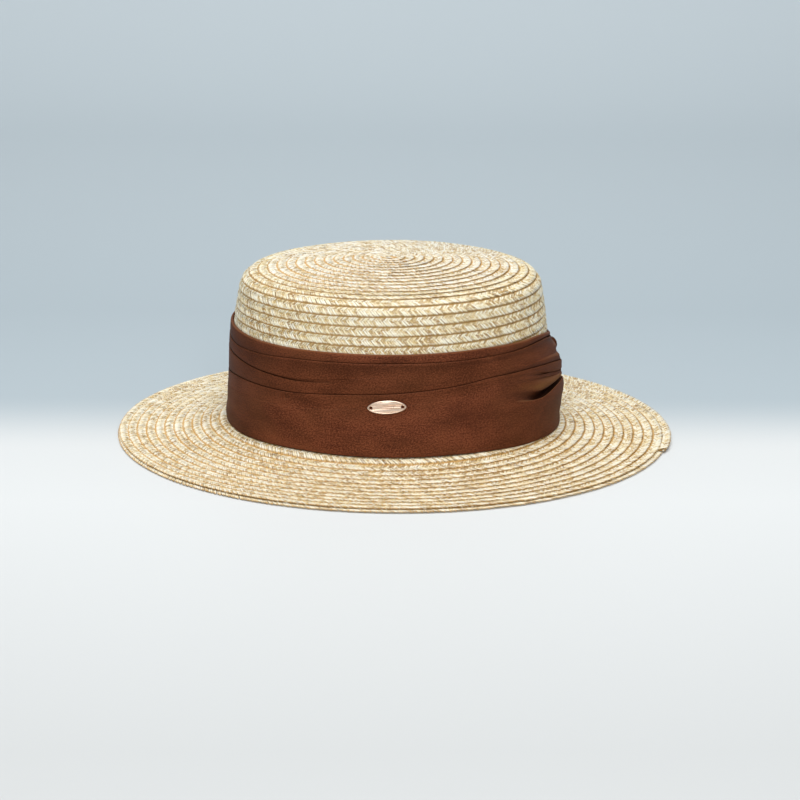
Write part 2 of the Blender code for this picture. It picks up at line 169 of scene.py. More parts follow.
class Socket:
    """A node's output that arithmetic can be written with."""

    def __init__(self, shader, output):
        self.shader, self.output = shader, output

    def maths(self, operation, *values):
        if self.output.type in ("RGBA", "VECTOR"):
            made = {"operation": operation}
            return self.shader.node("ShaderNodeVectorMath", made, dict(enumerate(values)))
        return self.shader.node("ShaderNodeMath", {"operation": operation}, dict(enumerate(values)))

    def __add__(self, other):
        return self.maths("ADD", self, other)

    def __radd__(self, other):
        return self.maths("ADD", other, self)

    def __sub__(self, other):
        return self.maths("SUBTRACT", self, other)

    def __rsub__(self, other):
        return self.maths("SUBTRACT", other, self)

    def __mul__(self, other):
        return self.maths("MULTIPLY", self, other)

    def __truediv__(self, other):
        return self.maths("DIVIDE", self, other)

    def __pow__(self, other):
        return self.maths("POWER", self, other)

    def size(self):
        return self.maths("ABSOLUTE", self)

    def clamped(self):
        return self.maths("MAXIMUM", self.maths("MINIMUM", self, 1.0), 0.0)


class Finish:
    """A material whose Principled shader is fed by expressions."""

    def __init__(self, name, colour, roughness, metallic=0.0, **fixed):
        self.material = bpy.data.materials.new(name)
        self.material.use_nodes = True
        self.material.diffuse_color = (*colour, 1.0)
        self.tree = self.material.node_tree
        self.principled = self.tree.nodes["Principled BSDF"]
        self.feed("Base Color", (*colour, 1.0))
        self.feed("Roughness", roughness)
        self.feed("Metallic", metallic)
        for socket, value in fixed.items():
            self.feed(socket.replace("_", " ").title().replace("Ior", "IOR"), value)

    def feed(self, socket, value):
        """Links or sets one input of the Principled shader."""
        self.put(self.principled.inputs[socket], value)

    def put(self, target, value):
        if isinstance(value, Socket):
            self.tree.links.new(value.output, target)
        else:
            target.default_value = value

    def node(self, kind, settings=None, inputs=None, output=0):
        """Adds a node, sets its settings, then its inputs, and hands back one output."""
        made = self.tree.nodes.new(kind)
        for name, value in (settings or {}).items():
            if name == "stops":
                stops = made.color_ramp.elements
                while len(stops) < len(value):
                    stops.new(0.5)
                for stop, (place, colour) in zip(stops, value):
                    stop.position, stop.color = place, (*colour, 1.0)
            else:
                setattr(made, name, value)
        for name, value in (inputs or {}).items():
            self.put(made.inputs[name], value)
        return Socket(self, made.outputs[output])

    def attribute(self, name, output="Fac"):
        return self.node("ShaderNodeAttribute", {"attribute_name": name}, output=output)

    def noise(self, where, scale, detail=2.0, roughness=0.5):
        inputs = {"Vector": where, "Scale": scale, "Detail": detail, "Roughness": roughness}
        return self.node("ShaderNodeTexNoise", {}, inputs)

    def ramp(self, value, stops):
        return self.node("ShaderNodeValToRGB", {"stops": stops}, {0: value})

    def mix(self, share, low, high, blend="MIX"):
        """Two colours mixed by a share from 0 to 1."""
        settings = {"data_type": "RGBA", "blend_type": blend}
        return self.node("ShaderNodeMix", settings, {0: share, 6: low, 7: high}, output=2)

    def parts(self, vector):
        """The x, y and z of a vector."""
        split = self.node("ShaderNodeSeparateXYZ", {}, {0: vector}).output.node
        return [Socket(self, output) for output in split.outputs]

    def vector(self, x, y, z=0.0):
        return self.node("ShaderNodeCombineXYZ", {}, {0: x, 1: y, 2: z})

    def bump(self, height, strength, distance):
        inputs = {"Height": height, "Strength": strength, "Distance": distance}
        self.feed("Normal", self.node("ShaderNodeBump", {}, inputs))


def straw_finish(name, palette, warmth=(1.0, 1.0, 1.0), seam_light=1.0):
    """Split wheat straw: strands of many tones with painted shade on their sides and ends, painted glints,
    fine fibres and a light gloss.

    Where two rows meet, and at a row's very free edge, it is deeper in colour: painted warm shade for the
    shadow between the rows. A painted highlight makes a row palest just inside its free edge.
    """
    warmed = (tuple(c * k for c, k in zip(colour, warmth)) for colour in palette)
    pale, gold, dark, green, pink, warm_shade = warmed
    warm_shade = tuple(c * seam_light for c in warm_shade)
    finish = Finish(name, gold, 0.45, specular_ior_level=0.5, coat_weight=0.22, coat_roughness=0.2)
    tone = finish.attribute("tone")
    rank = finish.attribute("rank")
    along, across, turn = finish.parts(finish.attribute("strand", "Vector"))
    fibre = finish.noise(finish.vector(along * 0.35, across * 9.0, turn * 31.0), 1.0, 3.0, 0.6)
    blotch = finish.noise(finish.vector(along * 1.9, across * 0.9, turn * 17.0), 1.0, 2.0)
    painted_glint = finish.noise(finish.vector(along * 1.5, across * 1.1, turn * 43.0), 1.0, 1.0)
    place = finish.node("ShaderNodeTexCoord", output="Object")
    ripe = finish.noise(place, 75.0, 2.0)
    mellow = tuple((a + b) / 2 for a, b in zip(pale, gold))
    white = tuple(0.5 + 0.5 * k - c for c, k in zip((0.02, 0.04, 0.11), warmth))
    stops = ((0.04, dark), (0.22, gold), (0.41, mellow), (0.57, pale), (0.87, white))
    level = tone + (fibre - 0.5) * 0.7 + (blotch - 0.5) * 1.1 + (ripe - 0.5) * 0.5
    colour = finish.ramp(level.clamped(), stops)
    for scatter, start, share, cast in ((57.0, 0.0, 0.45, green), (83.0, 5.0, 0.3, pink)):
        some = ((finish.noise(finish.vector(turn * scatter, start), 1.0, 0.0) - 0.60) * 6.0).clamped()
        colour = finish.mix(some * share, colour, (*cast, 1.0))
    # Painted shade: strand sides and ends are mixed toward a darkened straw, standing for the shadow in the
    # gaps between strands.
    side = across.size() ** 2.6
    end = (along * 0.5 - 1.0).size() ** 4.0
    shadow = tuple(0.8 * c for c in dark)
    colour = finish.mix((side * 0.78 + end * 0.36).clamped(), colour, (*shadow, 1.0))
    # Painted glints: white specks mixed into the base colour.
    colour = finish.mix(((painted_glint - 0.55) * 9.0).clamped() * 0.85, colour, (*white, 1.0))
    # Painted highlight: a row is mixed toward white just inside its free edge.
    painted_highlight = (1.0 - (rank - 0.62).size() * 5.0).clamped()
    colour = finish.mix(painted_highlight * 0.4, colour, (*white, 1.0))
    # Painted warm shade where a row slips under the row before it and along its very free edge, standing for
    # the shadow between the rows.
    seam_shade = (((-0.42 - rank) * 10.0).clamped() + ((rank - 0.8) * 8.0).clamped() * 0.7).clamped()
    finish.feed("Base Color", finish.mix(seam_shade * 0.95, colour, (*warm_shade, 1.0)))
    finish.feed("Roughness", (0.5 - tone * 0.2 + (fibre - 0.5) * 0.25).clamped())
    finish.bump(fibre, 0.4, 0.00025)
    return finish.material


def satin_finish(name, colour, deep, sheen):
    """Fine dull satin: a slanting speckled grain, olive in places, with a painted warm sheen where the cloth
    faces up.

    Painted shade makes it duskier away from the front, on the upper panel and just below it, and dark inside
    the folds, and it is golden in the pocket, where a painted golden sheen lies on the bulge above the lip.
    """
    finish = Finish(name, colour, 0.5, specular_ior_level=0.04)
    round_it, down_it, crest = finish.parts(finish.attribute("cloth", "Vector"))
    fold_shade, gilt_sheen, aside_shade = finish.parts(finish.attribute("fold", "Vector"))
    grain = finish.noise(finish.vector(round_it * 1.1 + down_it * 0.6, down_it * 1.3), 1.0, 2.0, 0.7)
    fine = finish.noise(finish.vector(round_it * 1.9 - down_it, down_it * 1.8), 1.0, 2.0, 0.7)
    shade = finish.noise(finish.vector(round_it * 0.045, down_it * 0.09), 1.0, 2.0)
    hue = finish.noise(finish.vector(round_it * 0.03 + 7.0, down_it * 0.05), 1.0, 1.0)
    tint = (0.45 + (grain - 0.5) * 2.8 + (fine - 0.5) * 3.0 + (shade - 0.5) * 1.2).clamped()
    bright = tuple(1.55 * c for c in colour)
    cloth = finish.mix(tint, (*deep, 1.0), (*bright, 1.0))
    olive = (0.8 * colour[0], 1.0 * colour[1], 0.8 * colour[2], 1.0)
    cloth = finish.mix(((hue - 0.45) * 2.2).clamped() * 0.5, cloth, olive)
    # Painted shade: duskier away from the front, on the upper panel and just below it.
    dusky_shade = (0.43 * colour[0], 0.46 * colour[1], 0.25 * colour[2], 1.0)
    cloth = finish.mix(aside_shade * 0.34, cloth, dusky_shade)
    # Painted sheen: a warm colour where the cloth faces up.
    cloth = finish.mix((crest * 0.75).clamped(), cloth, (*sheen, 1.0))
    # Painted golden sheen on the bulge above the pocket's lip.
    gold = (0.66 * sheen[0], 0.74 * sheen[1], 0.5 * sheen[2], 1.0)
    cloth = finish.mix((gilt_sheen * (0.25 + (shade - 0.4) * 1.5 + grain * 0.5)).clamped(), cloth, gold)
    # Painted shade: nearly black inside the folds.
    fold_shade_colour = tuple(0.3 * c for c in deep)
    finish.feed("Base Color", finish.mix((fold_shade * 0.9).clamped(), cloth, (*fold_shade_colour, 1.0)))
    finish.feed("Roughness", (0.46 + grain * 0.14).clamped())
    finish.bump(grain * 0.6 + fine * 0.6, 0.35, 0.0002)
    return finish.material


def metal_finish(name, colour):
    """Brushed rose gold with fine lengthwise lines and soft handling marks."""
    finish = Finish(name, colour, 0.3, 1.0, anisotropic=0.35)
    place = finish.node("ShaderNodeTexCoord", output="Object")
    x, y, z = finish.parts(place)
    brushed = finish.noise(finish.vector(x * 140.0, y * 9000.0, z * 9000.0), 1.0, 2.0, 0.6)
    marks = finish.noise(place, 420.0, 3.0, 0.6)
    dull = tuple(0.8 * c for c in colour)
    worn = (0.35 + (marks - 0.5) * 0.8).clamped()
    finish.feed("Base Color", finish.mix(worn, (*colour, 1.0), (*dull, 1.0)))
    finish.feed("Roughness", (0.24 + brushed * 0.12 + marks * 0.1).clamped())
    finish.bump(brushed, 0.06, 0.00003)
    return finish.material


# Mesh helpers


def mesh_of(name, points, quads, **per_point):
    """A mesh from arrays of points and quads, with one attribute for each further array."""
    mesh = bpy.data.meshes.new(name)
    points, quads = np.asarray(points, np.float32), np.asarray(quads, np.int32)
    mesh.vertices.add(len(points))
    mesh.vertices.foreach_set("co", points.ravel())
    mesh.loops.add(quads.size)
    mesh.loops.foreach_set("vertex_index", quads.ravel())
    mesh.polygons.add(len(quads))
    mesh.polygons.foreach_set("loop_start", np.arange(0, quads.size, 4, dtype=np.int32))
    mesh.update(calc_edges=True)
    for label, values in per_point.items():
        values = np.asarray(values, np.float32)
        kind = "FLOAT" if values.ndim == 1 else "FLOAT_VECTOR"
        layer = mesh.attributes.new(label, kind, "POINT")
        layer.data.foreach_set("value" if values.ndim == 1 else "vector", values.ravel())
    mesh.shade_smooth()
    return mesh


def reshape(mesh, change):
    """Runs change on the mesh in its editable form and writes the result back."""
    shape = bmesh.new()
    shape.from_mesh(mesh)
    change(shape)
    shape.to_mesh(mesh)
    shape.free()


def placed(name, data):
    """A new object in the scene."""
    made = bpy.data.objects.new(name, data)
    bpy.context.scene.collection.objects.link(made)
    return made


def add_piece(name, mesh, material, slot, *stands_for):
    """Links a finished piece, which rides on the hat and may stand for some of its solids."""
    piece = placed(name, mesh)
    mesh.materials.append(material)
    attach(piece, HEADWEAR)
    if stands_for:
        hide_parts(*stands_for)
    return piece


def grid_quads(rows, columns, wrap=False):
    """Quads of a grid of points numbered row by row, with its last row joined to its first on request."""
    i, j = np.meshgrid(np.arange(rows - (0 if wrap else 1)), np.arange(columns - 1), indexing="ij")
    here, there = i * columns + j, (i + 1) % rows * columns + j
    return np.stack([here, here + 1, there + 1, there], -1).reshape(-1, 4)


def smooth_line(knots, steps):
    """Points of a smooth curve through knots, with this many steps between two of them."""
    knots = np.asarray(knots, float)
    ends = np.vstack([2 * knots[0] - knots[1], knots, 2 * knots[-1] - knots[-2]])
    t = np.linspace(0, 1, steps, endpoint=False)[:, None]
    runs = []
    for a, b, c, d in zip(ends, ends[1:], ends[2:], ends[3:]):
        runs.append(
            0.5 * (2 * b + (c - a) * t + (2 * a - 5 * b + 4 * c - d) * t**2 + (3 * b - a - 3 * c + d) * t**3)
        )
    return np.vstack([*runs, knots[-1:]])


def smooth_step(t):
    t = np.clip(t, 0, 1)
    return t * t * (3 - 2 * t)


def degrees_past(start, angle):
    """How far an angle lies past another one, from -180 to 180 degrees."""
    return (angle - start + 180) % 360 - 180


# Faces of the hat


def wall_radius(z):
    """Outer radius of the crown's wall at height z."""
    heights = [step.z for step in reversed(WALL)]
    return np.interp(z, heights, [step.r for step in reversed(WALL)])


def brim_top(r):
    """Height of the brim's upper face at radius r."""
    t = np.maximum(0.0, (BRIM_OUTER - np.asarray(r, float)) / (BRIM_OUTER - BRIM_INNER))
    return BRIM_EDGE_TOP + BRIM_RISE * t**BRIM_CURVE


def edge_radius(angle):
    """Outer radius, which grows clockwise round the hat up to the end of the straw row."""
    turn = (TAIL_ANGLE - angle) % 360 / 360
    return BRIM_OUTER + TAIL_STEP * (turn - 0.5)


def crown_place(r, angle, z):
    """How much longer the crown's ring of radius r is than it is wide, its middle's x and y, and its rise.

    The upper part of the crown sinks a little toward -X.
    """
    grown = smooth_step((z - LEAN_FOOT) / LEAN_CLIMB)
    sink = TIP_LEAN * np.maximum(LEAN_START - r * np.cos(angle), 0) * grown
    return OVAL, CROWN_X, 0.0, -sink


def front_share(angle):
    """1 at the front of the hat and 0 at its sides and back."""
    away = np.abs(degrees_past(FRONT_MIDDLE, np.degrees(angle)))
    return 1 - smooth_step((away - FRONT_HALF) / FRONT_FADE)


def brim_place(r, angle, z):
    """The same for the brim, whose rings pass from the crown's oval and place to those of the edge.

    At the front it swells up to the band's foot.
    """
    share = np.clip((np.asarray(r, float) - BRIM_INNER) / (BRIM_OUTER - BRIM_INNER), 0, 1)
    oval = OVAL + (EDGE_OVAL - OVAL) * share
    fade = np.exp(-((np.maximum(r - SWELL_END, 0) / SWELL_FADE) ** 2))
    ridge = smooth_step((r - SWELL_START) / SWELL_CLIMB) * fade
    rise = SWELL * ridge * front_share(angle)
    return oval, CROWN_X + (EDGE_SHIFT[0] - CROWN_X) * share, EDGE_SHIFT[1] * share, rise


def on_ring(place, r, angle, z):
    """The point at this angle in radians and height z on the ring of radius r."""
    oval, x, y, rise = place(r, angle, z)
    return np.stack([r * np.cos(angle) + x, oval * r * np.sin(angle) + y, z + rise], -1)


class Face:
    """A face of the hat made of oval rings, read by distance along its profile."""

    def __init__(self, profile, place):
        self.profile = np.asarray(profile, float)
        steps = np.linalg.norm(np.diff(self.profile, axis=0), axis=1)
        self.lengths = np.concatenate([[0.0], np.cumsum(steps)])
        slope = np.gradient(self.profile, self.lengths, axis=0)
        slope /= np.linalg.norm(slope, axis=1)[:, None]
        self.normals = np.stack([-slope[:, 1], slope[:, 0]], 1)
        self.place = place

    def radius(self, s):
        return np.interp(s, self.lengths, self.profile[:, 0])

    def slice_point(self, s, lift):
        """The (r, z) point this far along the profile, raised off the face."""
        r, z = (np.interp(s, self.lengths, self.profile[:, k]) for k in (0, 1))
        out, up = (np.interp(s, self.lengths, self.normals[:, k]) for k in (0, 1))
        return r + out * lift, z + up * lift

    def point(self, s, angle, lift):
        """The point this far along the profile at this angle in radians, raised off the face."""
        r, z = self.slice_point(s, lift)
        return on_ring(self.place, r, angle, z)


def crown_profile():
    """(r, z) points of the crown's outer face from the middle of the tip down to its foot."""
    line = [(r, TIP_TOP - DOME_RISE * (r / DOME_R) ** 2) for r in np.linspace(0, DOME_R, 60, endpoint=False)]
    centre_r = DOME_R - RIM_R * math.sin(RIM_SLOPE)
    centre_z = TIP_TOP - DOME_RISE - RIM_R * math.cos(RIM_SLOPE)
    for a in np.linspace(math.pi / 2 - RIM_SLOPE, RIM_SLOPE, 20):
        line.append((centre_r + RIM_R * math.cos(a), centre_z + RIM_R * math.sin(a)))
    knots = [line[-1]] + [(step.r, step.z) for step in WALL]
    line.extend(map(tuple, smooth_line(knots, 8)[1:]))
    return line


def brim_profile():
    radii = np.linspace(BRIM_INNER, BRIM_OUTER + 8 * MM, 60)
    return np.stack([radii, brim_top(radii)], 1)


# Straw


# One strand of the plait: how far along it, from 0 to 1, its width there as a share of its full width
# and its height there as a share of the straw's thickness. Then how far across it, from -1 to 1, and
# the height that its rounding adds there, again as a share of the straw's thickness.
STRAND_ALONG = np.array([0.0, 0.14, 0.62, 1.0])
STRAND_WIDTH = np.array([0.72, 1.0, 1.0, 0.7])
STRAND_HEIGHT = np.array([-0.5, 0.12, 0.3, -0.12])
STRAND_ACROSS = np.array([-1.0, 0.0, 1.0])
STRAND_CROWN = np.array([-0.24, 0.14, -0.24])
# How unevenly strands lie: the spread of their place along and across the row and of their tilt in
# mm, and of their height as a share of it. A small share of them is riper than the rest.
SLIP_ALONG, SLIP_ACROSS, TILT_SPREAD = 0.07, 0.08, 0.09
HEIGHT_SPREAD = 0.15
RIPE_SHARE = 0.07
# How many repeats of the plait the straw's tone takes to drift.
TONE_RUN = 6
# How much wider each strand of the coarse plait is, which has only every other strand.
COARSE_WIDTH = 1.9


def plait_templates(sizes):
    """The four strands of one repeat, as (along, across, height, t, q) grids.

    On each side a pair of strands runs from the row's edge to its middle, the second a little shorter.
    """
    half, over, run = sizes.braid_width / 2, 0.35 * MM, 1.1 * sizes.plait_repeat
    pitch = sizes.plait_repeat / 2
    made = []
    for side, start in ((-1, 0.0), (1, pitch / 2)):
        for twin in (0, 1):
            short = 0.4 * MM * twin
            reach = half + over - short
            long = math.hypot(run, reach)
            t, q = np.meshgrid(STRAND_ALONG, STRAND_ACROSS, indexing="ij")
            width = np.interp(t, STRAND_ALONG, STRAND_WIDTH) * 0.51 * pitch * reach / long
            u = -(start + twin * pitch + t * run + side * q * width * reach / long)
            v = side * (half - short - t * reach) + q * width * run / long
            height = np.interp(t, STRAND_ALONG, STRAND_HEIGHT) + np.interp(q, STRAND_ACROSS, STRAND_CROWN)
            made.append((u, v, height * sizes.straw_thickness, t, q))
    return made


def braid(
    name,
    face,
    first,
    turns,
    sizes,
    seed,
    under=False,
    lift=0.0,
    level=False,
    drift=None,
    coarse=False,
    taper=0.0,
):
    """Plaited straw sewn in a spiral: one mesh of strands, each with its own tone.

    first is the distance along the profile of the row's middle, and turns how often it winds round.
    drift moves the row along the profile by the angle wound so far, and taper is the length of its
    narrowing end.
    """
    rng = np.random.default_rng(seed)
    templates = plait_templates(sizes)
    if coarse:
        templates = templates[::2]
    phi, stations = 0.0, []
    while phi < turns * 2 * math.pi:
        s = first + ROW_STEP * phi / (2 * math.pi)
        r = max(float(face.radius(s)), 1.2 * MM)
        stations.append((phi, r))
        phi += sizes.plait_repeat / (r * (1 + OVAL) / 2)
    phi, r = np.array(stations).T
    count = len(phi)
    knots = count // TONE_RUN + 2
    slow = np.interp(np.arange(count) / TONE_RUN, np.arange(knots), rng.random(knots))
    points, quads, tone, strand, rank = [], [], [], [], []
    half = sizes.braid_width / 2
    total = 0
    for u, v, height, t, q in templates:
        jitter = rng.normal(0, 1, (count, 4))
        du = u[None] + jitter[:, 0, None, None] * SLIP_ALONG * MM
        dv = v[None] + jitter[:, 1, None, None] * SLIP_ACROSS * MM
        if coarse:
            du = du + (u[None] - u.mean(axis=1, keepdims=True)[None]) * (COARSE_WIDTH - 1)
        wound = phi[:, None, None] - du / r[:, None, None]
        angle = math.radians(TAIL_ANGLE) - wound
        if taper:
            left = np.clip((turns * 2 * math.pi - wound) * r[:, None, None] / taper, 0.12, 1)
            dv = (dv + half) * left - half
        place = first + ROW_STEP * wound / (2 * math.pi) + dv
        if drift is not None:
            place = place + drift(wound)
        shingle = 0.0 if level else sizes.row_lift * (v / sizes.braid_width + 0.5)
        high = shingle + height[None] * (1 + jitter[:, 2, None, None] * HEIGHT_SPREAD)
        high = high + q[None] * jitter[:, 3, None, None] * TILT_SPREAD * MM
        xyz = face.point(np.maximum(place, 0.05 * MM), angle, -lift - high if under else lift + high)
        rows, columns = u.shape
        corner = total + np.arange(count)[:, None] * rows * columns
        patch = grid_quads(rows, columns)
        quads.append((corner[:, :, None] + patch[None]).reshape(-1, 4))
        points.append(xyz.reshape(-1, 3))
        shade = np.clip(0.2 * slow + 0.95 * rng.random(count) - 0.05, 0, 1)
        shade[rng.random(count) < RIPE_SHARE] *= 0.2
        tone.append(np.repeat(shade, rows * columns))
        spin = np.repeat(rng.random(count), rows * columns)
        strand.append(np.stack([np.tile((t * 4.0).ravel(), count), np.tile(q.ravel(), count), spin], 1))
        rank.append(np.tile((v / half).ravel(), count))
        total += count * rows * columns
    return mesh_of(
        name,
        np.concatenate(points),
        np.concatenate(quads),
        tone=np.concatenate(tone),
        strand=np.concatenate(strand),
        rank=np.concatenate(rank),
    )


def joined(name, meshes):
    """Several meshes made one, with their attributes kept."""
    shape = bmesh.new()
    for mesh in meshes:
        shape.from_mesh(mesh)
        bpy.data.meshes.remove(mesh)
    made = bpy.data.meshes.new(name)
    shape.to_mesh(made)
    shape.free()
    made.shade_smooth()
    return made


def core_mesh(name, sections, place):
    """A smooth shell under the plait, skinned over closed (r, z) slices at (angle, slice) places."""
    points = []
    for angle, slice_ in sections:
        points += [on_ring(place, r, math.radians(angle), z) for r, z in slice_]
    size = len(sections[0][1])
    i, j = np.meshgrid(np.arange(len(sections)), np.arange(size), indexing="ij")
    here, there = i * size, (i + 1) % len(sections) * size
    k = (j + 1) % size
    quads = np.stack([here + j, there + j, there + k, here + k], -1).reshape(-1, 4)
    points = np.array(points)
    # A low tone puts the shell near the dark end of its colours: painted shade for the gaps between strands.
    tone, rank = np.full(len(points), 0.12), np.zeros(len(points))
    strand = np.stack([points[:, 0] / MM * 0.4, points[:, 1] / MM * 0.4, points[:, 2] * 0], 1)
    mesh = mesh_of(name, points, quads, tone=tone, strand=strand, rank=rank)
    reshape(mesh, lambda shape: bmesh.ops.recalc_face_normals(shape, faces=shape.faces))
    return mesh


def crown_core(inset):
    """The crown's inner shell, a little inside both of its plaited faces."""
    face = Face(crown_profile(), crown_place)
    reach = np.linspace(0.4 * MM, face.lengths[-1], 90)
    slice_ = [face.slice_point(s, -inset) for s in reach]
    slice_ += [face.slice_point(s, inset - STRAW) for s in reach[::-1]]
    return core_mesh("crown_core", [(a, slice_) for a in np.arange(0, 360, 3.0)], crown_place)


def brim_core(inset):
    """The brim's inner shell, which ends in a step where the outer row ends."""
    count = 120
    tail = [TAIL_ANGLE + 0.3, TAIL_ANGLE + 359.7]
    angles = sorted([TAIL_ANGLE + 360 * (i + 0.5) / count for i in range(count)] + tail)
    sections = []
    for angle in angles:
        radii = np.linspace(BRIM_INNER + 0.2 * MM, edge_radius(angle) - 1.0 * MM, 20)
        top = [(r, float(brim_top(r)) - inset) for r in radii]
        low = [(r, float(brim_top(r)) - BRIM_THICK + inset) for r in radii[::-1]]
        sections.append((angle, top + low))
    return core_mesh("brim_core", sections, brim_place)


# Satin


def fold_curves(angles):
    """Every column of FOLDS at these angles, eased between its rows and lightly rounded off."""
    rows = sorted(FOLDS, key=lambda fold: fold.angle % 360)
    known = np.array([[fold.angle % 360, *fold[1:]] for fold in rows])
    known = np.vstack([known[-1], known, known[0]])
    known[0, 0] -= 360
    known[-1, 0] += 360
    step, blur, reach = 0.5, 2.0, 16
    fine = np.arange(0, 360, step)
    kernel = np.exp(-0.5 * (np.arange(-reach, reach + 1) * step / blur) ** 2)
    kernel /= kernel.sum()
    eased = []
    for column in known.T[1:]:
        line = np.interp(fine, known[:, 0], column)
        eased.append(np.convolve(np.concatenate([line[-reach:], line, line[:reach]]), kernel, "valid"))
    looped = [np.append(line, line[0]) for line in eased]
    at = np.asarray(angles) % 360
    return [Fold(a, *(np.interp(a, np.append(fine, 360.0), line) for line in looped)) for a in at]


def crease(height, above, below, depth, lean=0.0, dim=0.0, tuck=0.0):
    """Knots of one pleat: down the layer above, behind the layer below, then up over its crest.

    Each knot is out, height, its painted shade, and its painted golden sheen. lean is the slope of the layer
    above, tuck the painted shade on it where it turns in, and dim the painted shade on the layer below.
    """
    deep = min(above, below) - 1.35
    folded = (
        (above - 2.2 * lean, height + 2.2, 0.12 * tuck),
        (above - 0.2 - 0.9 * lean, height + 0.9, 0.1 + 0.35 * tuck),
        (deep + 0.35, height - 0.1, 0.55),
        (deep, height - 1.5, 1.0),
        (deep + 0.28, height - 1.7, 1.0),
        (below - 0.55, height - 0.5, 0.3),
        (below - 0.14, height + 0.22, 0.0),
        (below + 0.05, height - 0.45, 0.6 * dim),
        (below + 0.04, height - 1.9, dim),
    )
    ease = np.linspace(0, 1, len(folded))
    start = above - 2.2 * lean
    flat = [(start + (below - start) * e, height + 2.2 - 4.1 * e) for e in ease]
    return [
        (a + (c - a) * depth, b + (d - b) * depth, fold_shade * depth, 0.0)
        for (a, b), (c, d, fold_shade) in zip(flat, folded)
    ]


def band_knots(fold):
    """Knots of the band's slice: out from the crown's wall and height in mm, its painted shade, and its
    painted golden sheen.
    """
    calm = min(fold.upper, 2.4)
    spread = fold.upper - calm
    middle, puff, pocket, foot = fold.middle, fold.puff, fold.pocket, fold.foot
    top, lip, room = fold.top, fold.lip, fold.slit - fold.lip
    lean = spread / (fold.roll_low - fold.panel_top)
    heap = calm + lean * (fold.roll_low - fold.pleat_low)
    away = degrees_past(2.0, fold.angle)
    thin = 1 - 0.5 * math.exp(-((away / 11.0) ** 2))
    roll = max(top - 1.5, fold.roll_low + 1.7)
    roll_over = (
        (0.45, top - 2.6),
        (0.7 * thin, top - 0.7),
        (1.3 * thin, top - 0.02),
        (0.9 * calm * thin, top - 0.4),
        (1.02 * calm * thin, roll),
    )
    knots = [(out, height, 0.0, 0.0) for out, height in roll_over]
    held = calm * (0.3 + 0.7 * thin)
    # Painted shade on the layer under the top roll and on the band's lower part, strongest round 2 degrees,
    # beside the gather.
    dusk_shade = math.exp(-((away / 26.0) ** 2))
    tuck = 1 - float(front_share(math.radians(fold.angle)))
    knots += crease(fold.roll_low, held, held + 0.05 * spread, 1.0, dim=0.32 + 0.3 * dusk_shade, tuck=tuck)[1:]
    knots += crease(fold.pleat_low, heap, heap + 0.3 * lean, fold.heap, lean, tuck=tuck)
    between = (fold.pleat_low + fold.panel_top) / 2
    knots.append((heap + lean * (fold.pleat_low - between) + 0.05, between, 0.12, 0.0))
    knots += crease(fold.panel_top, fold.upper, fold.upper, 1.0, 1.1 * lean, tuck=tuck)
    knots += crease(fold.slit, fold.upper, (fold.upper + middle) / 2, fold.slit_depth)
    hollow = middle - 1.3
    bulge = 0.74 * (puff - middle)
    # In the pocket's mouth, painted shade darkens the hollow behind the lip, and a painted golden sheen lies
    # on the bulge above it.
    mouth = (
        (middle + 0.05 * bulge, lip + 0.8 * room, 0.1, 0.1),
        (middle + 0.6 * bulge, lip + 0.64 * room, 0.0, 0.45),
        (middle + 0.94 * bulge, lip + 0.48 * room, 0.0, 1.0),
        (middle + bulge, lip + 0.36 * room, 0.1, 0.8),
        (middle + bulge - 0.4, lip + 0.27 * room, 0.6, 0.2),
        (middle + 0.5 * bulge - 0.6, lip + 0.2 * room, 1.0, 0.0),
        (hollow, lip - 0.4, 1.0, 0.0),
        (hollow + 0.2, lip - 2.8, 1.0, 0.0),
        (puff - 1.7, lip - 2.2, 1.0, 0.0),
        (puff - 0.75, lip - 0.5, 0.9, 0.0),
        (puff - 0.15, lip + 0.2, 0.0, 0.0),
        (puff + 0.1, lip - 0.9, 0.0, 0.0),
        (puff + 0.1, lip - 2.8, 0.0, 0.0),
    )
    ease = np.linspace(0, 1, len(mouth))
    flat = [(middle + (puff - middle) * e**1.5, lip + 0.8 * room * (1 - e) - 2.8 * e) for e in ease]
    for (a, b), (c, d, fold_shade, golden) in zip(flat, mouth):
        knots.append((a + (c - a) * pocket, b + (d - b) * pocket, fold_shade * pocket, golden * pocket**1.5))
    low = BAND_FOOT + SWELL / MM * float(front_share(math.radians(fold.angle))) - BAND_SAG * (foot - 2.6)
    tilt = 0.9 if foot < 3 else 0.4
    below = (
        (puff + 0.06 + 0.1 * (foot - puff), lip - 6.0),
        (puff + 0.55 * (foot + tilt - puff), 0.45 * lip + 5.5),
        (foot + 0.85 * tilt, 15.0),
        (foot + tilt, 12.2),
        (foot + 0.8 * tilt, low + 0.3),
        (0.8 * foot, low),
        (0.55 * foot, low + 0.5),
        (0.4 * foot, low + 3.0),
    )
    return knots + [(out, height, 0.2 * dusk_shade, 0.0) for out, height in below]


BAND_COLUMNS = 360
BAND_STEPS = 3
# Radii in mm at which distances round the band are measured, for its grain and for its stitches.
GRAIN_R, TACK_R = 93.0, 92.0
# How deep the short ruches beside the gather and the long soft waves of the cloth are, in mm.
RUCHE_DEPTH, WAVE_DEPTH = 0.12, 0.09
# A stitch's dent and the low pucker round it, in mm: depth and radius, then height, radius and width.
DENT_DEPTH, DENT_R = 0.9, 1.5
PUCKER_HEIGHT, PUCKER_R, PUCKER_WIDTH = 0.35, 3.0, 1.4
# The gather's lengthwise flutes: how many, and how deep as a share of its own depth.
FLUTES, FLUTE_DEPTH = 7, 0.24


